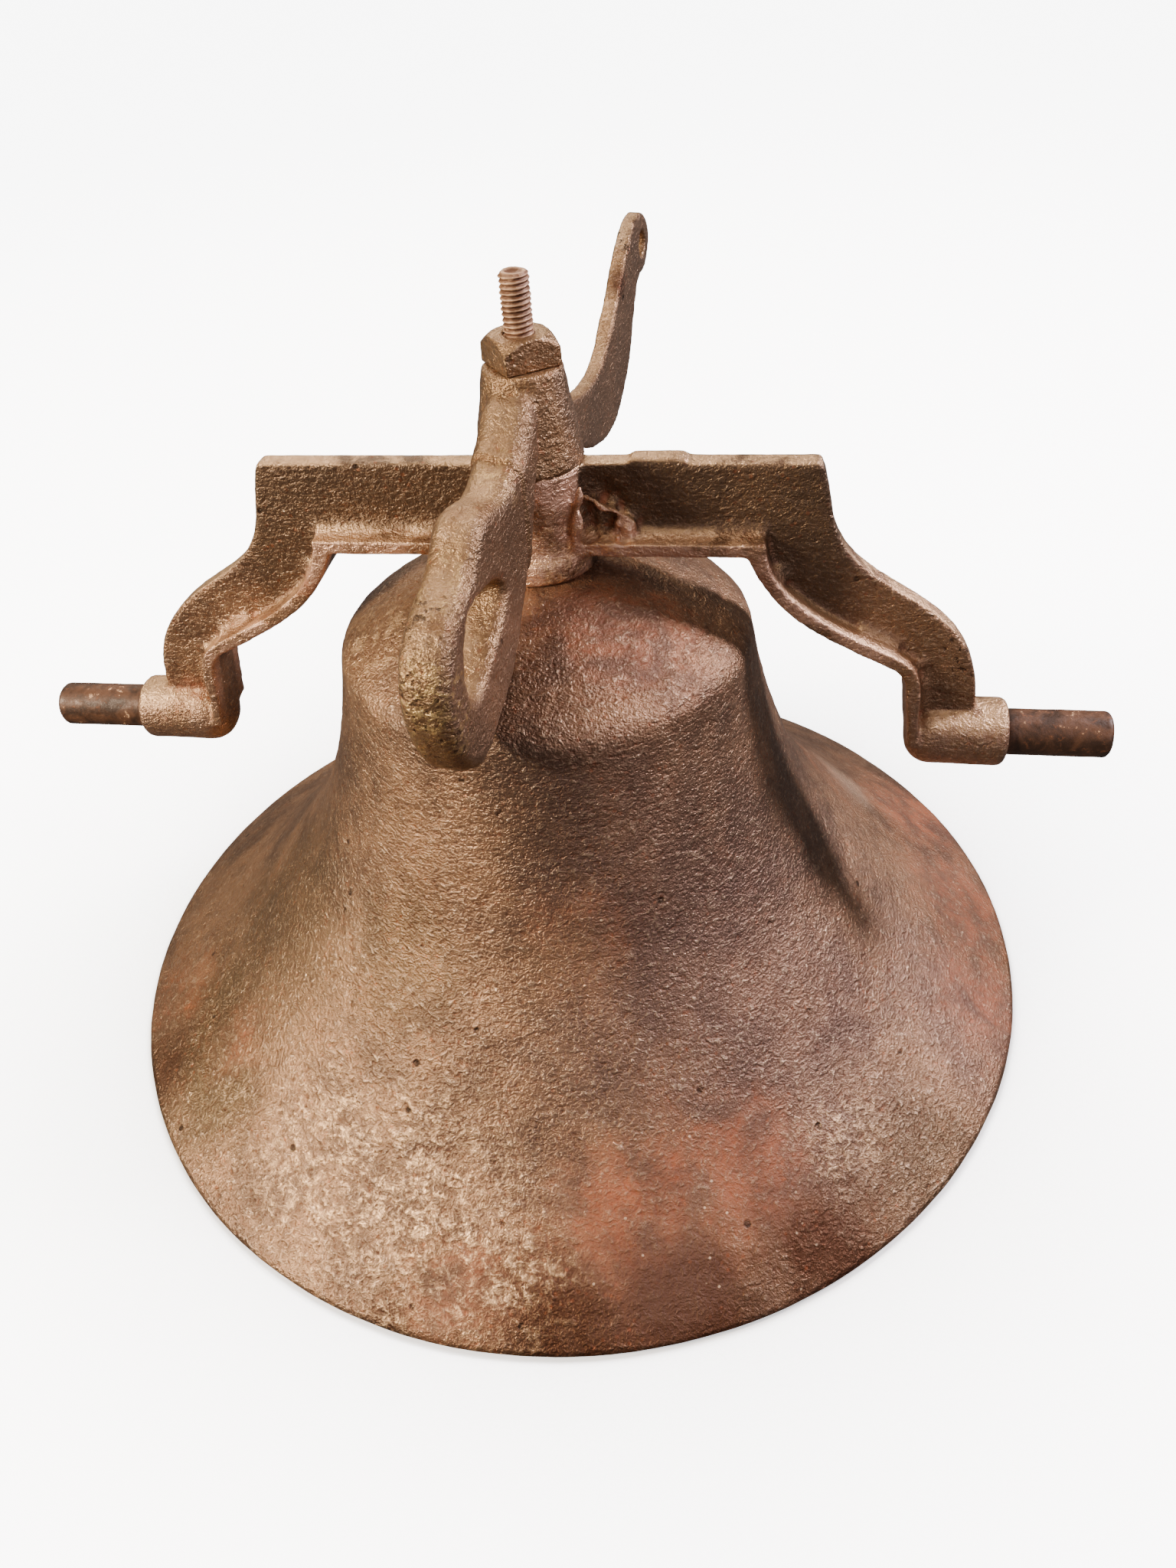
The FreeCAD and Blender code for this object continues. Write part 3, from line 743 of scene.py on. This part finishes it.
def backdrop():
    """A pale dome far behind everything."""
    material = bpy.data.materials.new("backdrop")
    material.use_nodes = True
    nodes = material.node_tree.nodes
    glow = nodes.new("ShaderNodeEmission")
    glow.inputs["Color"].default_value = (1, 1, 1, 1)
    glow.inputs["Strength"].default_value = FLOOR_GLOW
    material.node_tree.links.new(glow.outputs[0], nodes["Material Output"].inputs["Surface"])
    shape = bmesh.new()
    bmesh.ops.create_icosphere(shape, subdivisions=4, radius=DOME_RADIUS)
    dome = set_piece("backdrop", shape, material)
    dome.visible_transmission = False
    dome.visible_shadow = False


def floor_white():
    """Glowing white with a painted contact shadow where the object crowds it. It is clear from underneath.
    """
    material = bpy.data.materials.new("floor")
    material.use_nodes = True
    nodes = material.node_tree.nodes
    links = material.node_tree.links
    white = nodes["Principled BSDF"]
    white.inputs["Base Color"].default_value = (0.92, 0.92, 0.92, 1)
    white.inputs["Roughness"].default_value = 0.9
    white.inputs["Emission Color"].default_value = (1, 1, 1, 1)
    # painted contact shadow: the glow dims where the object hides the sky nearby
    shade = nodes.new("ShaderNodeAmbientOcclusion")
    shade.samples = 8
    shade.inputs["Distance"].default_value = CORNER_REACH
    strength = nodes.new("ShaderNodeMapRange")
    strength.inputs["From Min"].default_value = OPEN_SHARE
    strength.inputs["To Min"].default_value = CONTACT_SHADOW_GLOW
    strength.inputs["To Max"].default_value = FLOOR_GLOW
    links.new(shade.outputs["AO"], strength.inputs["Value"])
    links.new(strength.outputs[0], white.inputs["Emission Strength"])
    underside = nodes.new("ShaderNodeMixShader")
    links.new(nodes.new("ShaderNodeNewGeometry").outputs["Backfacing"], underside.inputs[0])
    links.new(white.outputs[0], underside.inputs[1])
    links.new(nodes.new("ShaderNodeBsdfTransparent").outputs[0], underside.inputs[2])
    links.new(underside.outputs[0], nodes["Material Output"].inputs["Surface"])
    return material


def ground():
    """The floor, just under the lowest point of the object."""
    shape = bmesh.new()
    bmesh.ops.create_grid(shape, x_segments=4, y_segments=4, size=FLOOR_HALF)
    floor = set_piece("floor", shape, floor_white())
    floor.location.z = cad_box[0][2] - FLOOR_GAP


def sky():
    """Faint light from all round."""
    world = bpy.data.worlds.new("studio")
    bpy.context.scene.world = world
    world.use_nodes = True
    background = world.node_tree.nodes["Background"]
    background.inputs["Color"].default_value = (1.0, 0.93, 0.93, 1)
    background.inputs["Strength"].default_value = 0.13


def softbox(name, azimuth, elevation, distance, size, power, colour):
    """A round light that faces the object. Angles in degrees, lengths in metres, power in watts."""
    light = bpy.data.lights.new(name, "AREA")
    light.shape = "DISK"
    light.size = size
    light.energy = power
    light.color = colour
    lamp = bpy.data.objects.new(name, light)
    bpy.context.scene.collection.objects.link(lamp)
    a = math.radians(azimuth)
    e = math.radians(elevation)
    way = Vector((math.cos(a) * math.cos(e), math.sin(a) * math.cos(e), math.sin(e)))
    lamp.location = way * distance + Vector((0, 0, 0.1))
    lamp.rotation_euler = way.to_track_quat("Z", "Y").to_euler()


def camera_at(place, right, up, lens):
    camera = bpy.data.cameras.new("camera")
    camera.lens = lens
    camera.clip_start = 0.01
    view = bpy.data.objects.new("camera", camera)
    bpy.context.scene.collection.objects.link(view)
    turn = Matrix((right, up, right.cross(up))).transposed().to_4x4()
    view.matrix_world = Matrix.Translation(place) @ turn
    bpy.context.scene.camera = view


# ---------------------------------------------------------------- assembly

bell_paint_and_light = painted_iron(
    "bell_paint_and_light",
    stains=[((46, -152, 24), 46, 1.0), ((80, -134, 28), 36, 0.9), ((171, 18, 15), 46, 0.8),
            ((160, 76, 20), 50, 0.9), ((34, -30, 183), 36, 0.7), ((40, -44, 180), 14, 0.8),
            ((-120, -90, 24), 24, 0.5), ((-16, -176, 10), 26, 0.7), ((20, -90, 100), 30, 0.3),
            ((176, -34, 12), 36, 0.7), ((-164, -60, 14), 34, 0.5), ((104, 45, 52), 30, 0.5)],
    chalk=[((-44, -150, 26), 52, 1.0), ((-70, -136, 26), 44, 1.0), ((-5, -169, 17), 34, 0.9),
           ((112, -112, 24), 26, 0.5), ((-120, -112, 18), 30, 0.25), ((-62, -30, 180), 30, 0.9),
           ((-150, -50, 26), 34, 0.15), ((96, 52, 56), 18, 0.35)],
    brown=[((24, -184, 5), 40, 1.0), ((62, -174, 6), 44, 1.0), ((108, -150, 7), 40, 1.0),
           ((-160, -92, 6), 26, 0.8), ((16, -26, 183), 8, 0.8), ((-40, -184, 2), 12, 0.6)],
    # painted shade: olive on the left flank and near the lip, mauve on the dim front and right flare;
    # painted highlight: the pale patch at the right back
    tints=[(OLIVE_SHADE, [((-108, -60, 55), 66, 0.6), ((-146, -86, 26), 60, 0.9), ((-128, -110, 20), 34, 0.8),
                    ((-50, -95, 85), 36, 0.5), ((140, -110, 14), 44, 0.7), ((178, 0, 10), 44, 0.7),
                    ((-20, -176, 6), 30, 0.3)]),
           (MAUVE_SHADE, [((30, -76, 124), 60, 0.45), ((80, -96, 70), 110, 0.5), ((160, -44, 22), 50, 0.5)]),
           (PALE_PAINT_AND_HIGHLIGHT, [((118, 60, 44), 22, 0.5)])])
yoke_paint_and_light = painted_iron(
    "yoke_paint_and_light", wear=0.35, coat_and_light=yoke_coat_and_light,
    stains=[((-60, -12, 190), 12, 0.9), ((-84, -12, 190), 9, 0.7), ((72, -12, 190), 12, 0.7),
            ((-146, 0, 134), 12, 0.7), ((26, -8, 196), 8, 0.7)],
    # the chalk on the centre boss and its foot is partly painted light, lightening the boss where it lies
    # in shade
    chalk=[((8, -20, 200), 24, 0.9), ((24, -14, 197), 16, 1.0), ((-40, -8, 206), 10, 0.3)],
    pocked=[((152, -2, 158), 14, 1.0)])
lever_paint_and_light = painted_iron(
    "lever_paint_and_light", wear=0.2, coat_and_light=lever_coat_and_light, dust=YELLOW_CHALK,
    chalk=[((-13, -112, 204), 26, 0.9), ((-11, -84, 232), 16, 0.5), ((-4, -40, 243), 14, 0.4)],
    pocked=[((-18, -108, 198), 26, 1.0), ((-14, -94, 226), 14, 0.9), ((18, 140, 262), 22, 1.0)],
    brown=[((-10, -92, 222), 9, 0.8), ((17, 120, 250), 9, 0.9), ((-22, -98, 186), 8, 0.9)],
    tints=[(RUST_BROWN, [((-6, -30, 246), 10, 0.6), ((-9, -58, 241), 12, 0.5), ((-12, -78, 238), 9, 0.6),
                         ((10, 90, 236), 16, 0.5)])])
pin_rust = rusty_steel("pin_rust", flecks=0.35)
bolt_rust = rusty_steel("bolt_rust", flecks=0.4, shine=0.5, crests=0.8)
clapper_rust = rusty_steel("clapper_rust", flecks=0.0)

# noise layers of a cast skin, each (size in mm, height in mm)
CAST = [(14, 0.30), (5, 0.22), (2.2, 0.12)]
YOKE_CAST = [(20, 0.24), (5, 0.10), (2.2, 0.06)]
# a ridge down the boss's right side, a thin flash of iron beside it and a lump below that: each
# (place in mm, half lengths in mm, turn)
BOSS_LUMPS = [((16.0, -12.5, 214), (2.2, 2.6, 13), Euler((0.0, 0.15, 0.0))),
              ((24.0, -7.5, 217), (8.0, 2.2, 1.6), Euler((0.0, 0.5, 0.0))),
              ((31.0, -7.0, 209), (5.0, 3.0, 4.5), Euler((0.0, 0.9, 0.0)))]

bell_shell(bell_paint_and_light)
yoke = casting("yoke_casting", "yoke_skin", yoke_paint_and_light, voxel=0.9, soften=8, layers=YOKE_CAST,
               extra=boss_scar, lumps=BOSS_LUMPS, coves=True)
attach(yoke, "bell")
lever = casting("lever_casting", "lever_skin", lever_paint_and_light, voxel=0.8, soften=8, layers=CAST,
                extra=lever_marks)
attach(lever, "bell")
for side in ("left", "right"):
    pin = casting("trunnion_pin_" + side, "pin_skin_" + side, pin_rust, voxel=0.7, soften=4,
                  layers=[(9, 0.1), (3, 0.06)])
    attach(pin, "bell")
nut = casting("square_nut", "nut_skin", lever_paint_and_light, voxel=0.45, soften=3,
              layers=[(6, 0.2), (2, 0.12)])
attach(nut, "bell")
bolt_thread(bolt_rust)
bolt_shank(clapper_rust)
for node in ("clapper_rod", "clapper_ball"):
    skin = casting(node, node + "_skin", clapper_rust, voxel=0.8, soften=3,
                   layers=[(10, 0.25), (3, 0.12)])
    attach(skin, "clapper")
for node in ("crown_washer", "clapper_pin", "clapper_cotter"):
    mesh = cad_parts[node].data
    mesh.materials.clear()
    mesh.materials.append(clapper_rust)

backdrop()
ground()
sky()
softbox("left_softbox", -148, 26, 1.5, 0.3, 40, (1.0, 0.84, 0.65))
softbox("back_softbox", 112, 42, 1.5, 0.8, 14, (1.0, 0.84, 0.66))
softbox("right_softbox", 20, 36, 1.6, 0.3, 38, (1.0, 0.88, 0.94))
softbox("front_softbox", -42, 24, 1.6, 0.6, 6, (1.0, 0.86, 0.92))
softbox("top_softbox", -142, 66, 1.5, 0.5, 6, (1.0, 0.84, 0.68))
camera_at(place=Vector((73.2, -346.8, 386.3)) * MM, right=Vector((0.99000, 0.12813, -0.05902)),
          up=Vector((-0.03804, 0.64535, 0.76294)), lens=25.903)
